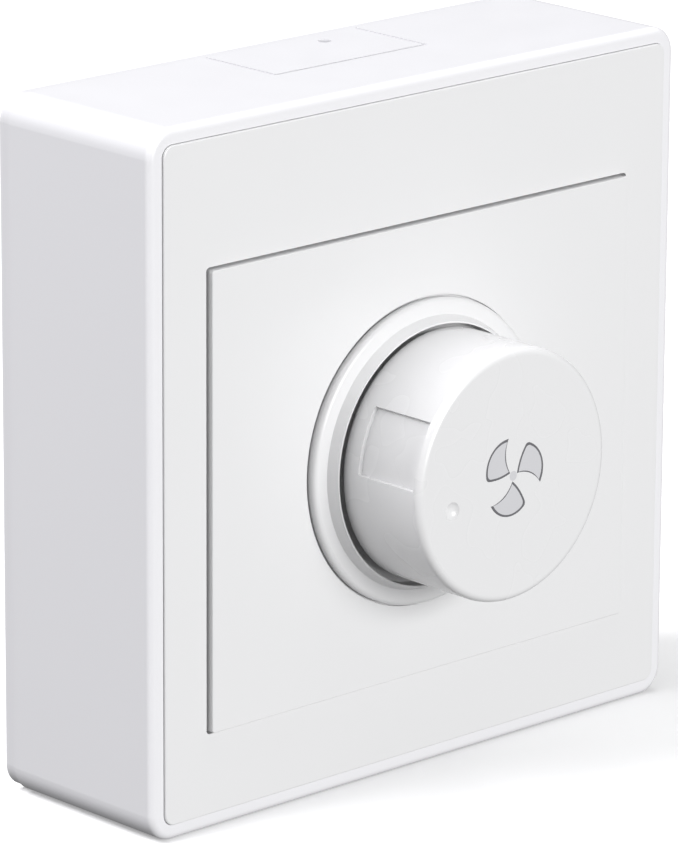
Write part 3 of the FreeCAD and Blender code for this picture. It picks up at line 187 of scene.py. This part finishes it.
class Maker:
    """Node tree of one material, with short calls for the usual nodes."""

    def __init__(self, name):
        self.material = bpy.data.materials.new(name)
        self.material.use_nodes = True
        self.nodes = self.material.node_tree.nodes
        self.links = self.material.node_tree.links
        self.shader = self.nodes["Principled BSDF"]
        self.place = None

    def constant(self, **values):
        """Set sockets of the shader; an underscore stands for a space."""
        for name, value in values.items():
            self.shader.inputs[name.replace("_", " ")].default_value = value

    def position(self):
        """Object coordinates, which are the CAD frame in metres."""
        if self.place is None:
            self.place = self.nodes.new("ShaderNodeTexCoord").outputs["Object"]
        return self.place

    def stretched(self, scale):
        """Object coordinates scaled per axis."""
        mapping = self.nodes.new("ShaderNodeMapping")
        mapping.inputs["Scale"].default_value = scale
        self.links.new(self.position(), mapping.inputs["Vector"])
        return mapping.outputs["Vector"]

    def noise(self, scale, detail=3.0, where=None):
        """Noise value, finer with more detail."""
        node = self.nodes.new("ShaderNodeTexNoise")
        node.inputs["Scale"].default_value = scale
        node.inputs["Detail"].default_value = detail
        node.inputs["Roughness"].default_value = NOISE_ROUGHNESS
        self.links.new(where or self.position(), node.inputs["Vector"])
        return node.outputs["Fac"]

    def ramp(self, value, stops, smooth=True):
        """Colour ramp with (position, colour) stops."""
        node = self.nodes.new("ShaderNodeValToRGB")
        node.color_ramp.interpolation = "LINEAR" if smooth else "CONSTANT"
        elements = node.color_ramp.elements
        while len(elements) < len(stops):
            elements.new(0.5)
        for element, (position, colour) in zip(elements, stops):
            element.position = position
            element.color = (*colour, 1.0)
        self.links.new(value, node.inputs["Fac"])
        return node.outputs["Color"]

    def between(self, noise, low, high):
        """Noise value spread over low..high."""
        node = self.nodes.new("ShaderNodeMapRange")
        node.inputs["From Min"].default_value = NOISE_LOW
        node.inputs["From Max"].default_value = NOISE_HIGH
        node.inputs["To Min"].default_value = low
        node.inputs["To Max"].default_value = high
        self.links.new(noise, node.inputs["Value"])
        return node.outputs["Result"]

    def bump(self, value, depth):
        """Bump of the given depth, on top of any bump already there."""
        node = self.nodes.new("ShaderNodeBump")
        node.inputs["Strength"].default_value = 1.0
        node.inputs["Distance"].default_value = depth
        self.links.new(value, node.inputs["Height"])
        taken = self.shader.inputs["Normal"].links
        if taken:
            self.links.new(taken[0].from_socket, node.inputs["Normal"])
        self.links.new(node.outputs["Normal"], self.shader.inputs["Normal"])

    def into(self, output, name):
        """Link an output to a socket of the shader."""
        self.links.new(output, self.shader.inputs[name])


def shade(colour, factor):
    """Colour made lighter or darker."""
    return tuple(min(1.0, channel * factor) for channel in colour)


# ---------------------------------------------------------------- kinds of material

CLOUD_SCALE = 55.0
GLOSS_SCALE = 160.0
GLOSS_SPREAD = 0.02
PLASTIC_IOR = 1.49


def moulded(name, colour, rough, variation=0.003, grain=0.0008 * MM, grain_scale=1800.0):
    """Injection-moulded plastic: faint cloudiness, uneven gloss and a fine grain."""
    maker = Maker(name)
    clouds = ((NOISE_LOW, shade(colour, 1 - variation)),
              (NOISE_HIGH, shade(colour, 1 + variation)))
    maker.into(maker.ramp(maker.noise(CLOUD_SCALE, detail=1.0), clouds), "Base Color")
    gloss = maker.noise(GLOSS_SCALE, detail=1.0)
    maker.into(maker.between(gloss, rough - GLOSS_SPREAD, rough + GLOSS_SPREAD),
               "Roughness")
    maker.constant(IOR=PLASTIC_IOR)
    maker.bump(maker.noise(grain_scale, detail=2.0), grain)
    return maker.material


MARK_SCALE = 4200.0
MARK_DEPTH = 0.004 * MM
STAIN_SCALE = 240.0
STAIN_SHADE = 0.88


def metal(name, colour, rough, stretch=(1.0, 1.0, 1.0)):
    """Bare or plated metal with fine marks, drawn out along one axis if asked."""
    maker = Maker(name)
    marks = maker.noise(MARK_SCALE, detail=4.0, where=maker.stretched(stretch))
    stains = ((0.25, shade(colour, STAIN_SHADE)), (0.75, colour))
    maker.into(maker.ramp(maker.noise(STAIN_SCALE), stains), "Base Color")
    maker.into(maker.between(marks, rough - 0.08, rough + 0.1), "Roughness")
    maker.constant(Metallic=1.0)
    maker.bump(marks, MARK_DEPTH)
    return maker.material


LACQUER_ROUGHNESS = 0.32
LACQUER_SCALE = 2600.0
LACQUER_DEPTH = 0.02 * MM


def banded(name, colour, rings, middle):
    """Lacquered barrel with colour rings, repeated every BARREL_PITCH along X."""
    maker = Maker(name)
    split = maker.nodes.new("ShaderNodeSeparateXYZ")
    maker.links.new(maker.position(), split.inputs["Vector"])
    value = split.outputs["X"]
    steps = (("SUBTRACT", middle - BARREL_PITCH / 2), ("DIVIDE", BARREL_PITCH),
             ("FRACT", 0.0))
    for operation, amount in steps:
        node = maker.nodes.new("ShaderNodeMath")
        node.operation = operation
        node.inputs[1].default_value = amount
        maker.links.new(value, node.inputs[0])
        value = node.outputs["Value"]
    stops = [(0.0, colour)]
    for offset, width, ring in rings:
        start = 0.5 + offset / BARREL_PITCH
        stops += [(start, ring), (start + width / BARREL_PITCH, colour)]
    maker.into(maker.ramp(value, stops, smooth=False), "Base Color")
    maker.constant(Roughness=LACQUER_ROUGHNESS)
    maker.bump(maker.noise(LACQUER_SCALE), LACQUER_DEPTH)
    return maker.material


# Scale of the wave texture that makes turns about 0.5 mm apart.
TURN_SCALE = 620.0
TURN_DEPTH = 0.1 * MM
# Gap colour: painted shade between neighbouring turns; the crest colour is the copper's
# own.
COPPER_PAINTED_GAP_SHADE = (0.20, 0.06, 0.02)
COPPER_CREST = (0.62, 0.25, 0.10)


def winding(name):
    """Enamelled copper wire laid in close turns along X, with painted shade in the gaps
    between turns.
    """
    maker = Maker(name)
    wave = maker.nodes.new("ShaderNodeTexWave")
    wave.bands_direction = "X"
    wave.inputs["Scale"].default_value = TURN_SCALE
    maker.links.new(maker.position(), wave.inputs["Vector"])
    # The ramp paints shade into the gaps and the copper's own colour on the crests.
    painted_gap_shade_to_crest = ((0.0, COPPER_PAINTED_GAP_SHADE), (0.6, COPPER_CREST))
    maker.into(maker.ramp(wave.outputs["Fac"], painted_gap_shade_to_crest), "Base Color")
    maker.constant(Metallic=0.8, Roughness=0.28)
    maker.bump(wave.outputs["Fac"], TURN_DEPTH)
    return maker.material


GLASS_TINT = (0.95, 0.98, 0.98, 1.0)
GLASS_IOR = 1.47
GLASS_SCALE = 900.0


def glass(name):
    """Clear thin glass."""
    maker = Maker(name)
    maker.constant(Base_Color=GLASS_TINT, Transmission_Weight=1.0, IOR=GLASS_IOR)
    maker.into(maker.between(maker.noise(GLASS_SCALE), 0.02, 0.07), "Roughness")
    return maker.material


MASK_DARK = (0.012, 0.085, 0.035)
MASK_LIGHT = (0.02, 0.12, 0.05)
MASK_SCALE = 420.0
MASK_GLOSS_SCALE = 300.0
WEAVE_SCALE = 1500.0
WEAVE_DEPTH = 0.01 * MM
WEAVE_STRETCHES = ((1.0, 1.0, 0.3), (0.3, 1.0, 1.0))


def solder_mask(name):
    """Green board lacquer over the faint weave of the glass cloth."""
    maker = Maker(name)
    greens = ((NOISE_LOW, MASK_DARK), (NOISE_HIGH, MASK_LIGHT))
    maker.into(maker.ramp(maker.noise(MASK_SCALE), greens), "Base Color")
    maker.into(maker.between(maker.noise(MASK_GLOSS_SCALE), 0.25, 0.38), "Roughness")
    for stretch in WEAVE_STRETCHES:
        threads = maker.noise(WEAVE_SCALE, where=maker.stretched(stretch))
        maker.bump(threads, WEAVE_DEPTH)
    return maker.material


# ---------------------------------------------------------------- slots

# Distance along X from the two resistors on the left to the one on the right.
BARREL_PITCH = 39.0 * MM
RESISTOR_MIDDLE = -16.5 * MM
DIAC_MIDDLE = 20.5 * MM
# Where each ring starts from the barrel's middle, its width and its colour.
RESISTOR_RINGS = (
    (-2.2 * MM, 0.5 * MM, (0.30, 0.08, 0.01)),
    (-1.1 * MM, 0.5 * MM, (0.01, 0.01, 0.01)),
    (0.0, 0.5 * MM, (0.45, 0.12, 0.0)),
    (1.6 * MM, 0.5 * MM, (0.45, 0.30, 0.08)),
)
DIAC_RINGS = ((0.9 * MM, 0.4 * MM, (0.6, 0.6, 0.6)),)

# Kind of material in each slot, and its values.
LOOKS = {
    "body_white": (moulded, dict(colour=(0.80, 0.798, 0.818), rough=0.36)),
    "cover_white": (moulded, dict(colour=(0.765, 0.765, 0.77), rough=0.30)),
    "knob_white": (moulded, dict(colour=(0.755, 0.755, 0.76), rough=0.27)),
    "symbol_grey": (moulded, dict(colour=(0.60, 0.60, 0.62), rough=0.5,
                                  variation=0.05)),
    "symbol_line": (moulded, dict(colour=(0.14, 0.14, 0.15), rough=0.5,
                                  variation=0.08)),
    "steel": (metal, dict(colour=(0.58, 0.59, 0.60), rough=0.34)),
    "bracket_aluminium": (metal, dict(colour=(0.80, 0.81, 0.82), rough=0.32,
                                      stretch=(0.04, 1.0, 1.0))),
    "can_steel": (metal, dict(colour=(0.66, 0.67, 0.68), rough=0.25)),
    "bushing_brass": (metal, dict(colour=(0.72, 0.54, 0.26), rough=0.3,
                                  stretch=(1.0, 6.0, 1.0))),
    "rotor_plastic": (moulded, dict(colour=(0.72, 0.68, 0.58), rough=0.5)),
    "wafer_brown": (moulded, dict(colour=(0.16, 0.07, 0.03), rough=0.55,
                                  variation=0.25, grain=0.02 * MM,
                                  grain_scale=2400.0)),
    "carbon_black": (moulded, dict(colour=(0.015, 0.015, 0.016), rough=0.4,
                                   variation=0.3)),
    "tinned": (metal, dict(colour=(0.74, 0.75, 0.76), rough=0.3)),
    "nickel": (metal, dict(colour=(0.72, 0.70, 0.66), rough=0.18)),
    "board_green": (solder_mask, {}),
    "resistor_beige": (banded, dict(colour=(0.52, 0.38, 0.2), rings=RESISTOR_RINGS,
                                    middle=RESISTOR_MIDDLE)),
    "diac_blue": (banded, dict(colour=(0.02, 0.07, 0.24), rings=DIAC_RINGS,
                               middle=DIAC_MIDDLE)),
    "capacitor_yellow": (moulded, dict(colour=(0.62, 0.42, 0.02), rough=0.42,
                                       variation=0.05)),
    "capacitor_red": (moulded, dict(colour=(0.34, 0.02, 0.01), rough=0.4,
                                    variation=0.06)),
    "varistor_blue": (moulded, dict(colour=(0.01, 0.05, 0.3), rough=0.35,
                                    variation=0.1, grain=0.05 * MM,
                                    grain_scale=1400.0)),
    "ferrite": (moulded, dict(colour=(0.03, 0.03, 0.033), rough=0.6, variation=0.2,
                              grain=0.03 * MM, grain_scale=3000.0)),
    "copper": (winding, {}),
    "moulding_black": (moulded, dict(colour=(0.012, 0.012, 0.012), rough=0.5,
                                     variation=0.2, grain=0.02 * MM,
                                     grain_scale=5000.0)),
    "pad_grey": (moulded, dict(colour=(0.26, 0.28, 0.29), rough=0.7,
                               variation=0.06)),
    "glass": (glass, {}),
    "clip_bronze": (metal, dict(colour=(0.66, 0.58, 0.42), rough=0.3)),
    "block_green": (moulded, dict(colour=(0.01, 0.15, 0.045), rough=0.4,
                                  variation=0.06)),
}


def dress():
    """Give each CAD node the finished material of its slot."""
    materials = {slot: make(slot, **values) for slot, (make, values) in LOOKS.items()}
    for entry in frame["record"]["subparts"]:
        mesh = frame["nodes"][entry["node"]].data
        mesh.materials.clear()
        mesh.materials.append(materials[entry["material_slot"]])


def colours():
    """Show the scene's own tones, so that white stays white."""
    bpy.context.scene.view_settings.view_transform = "Standard"


# ---------------------------------------------------------------- whole scene

add_camera()
add_floor()
add_lights()
dress()
colours()
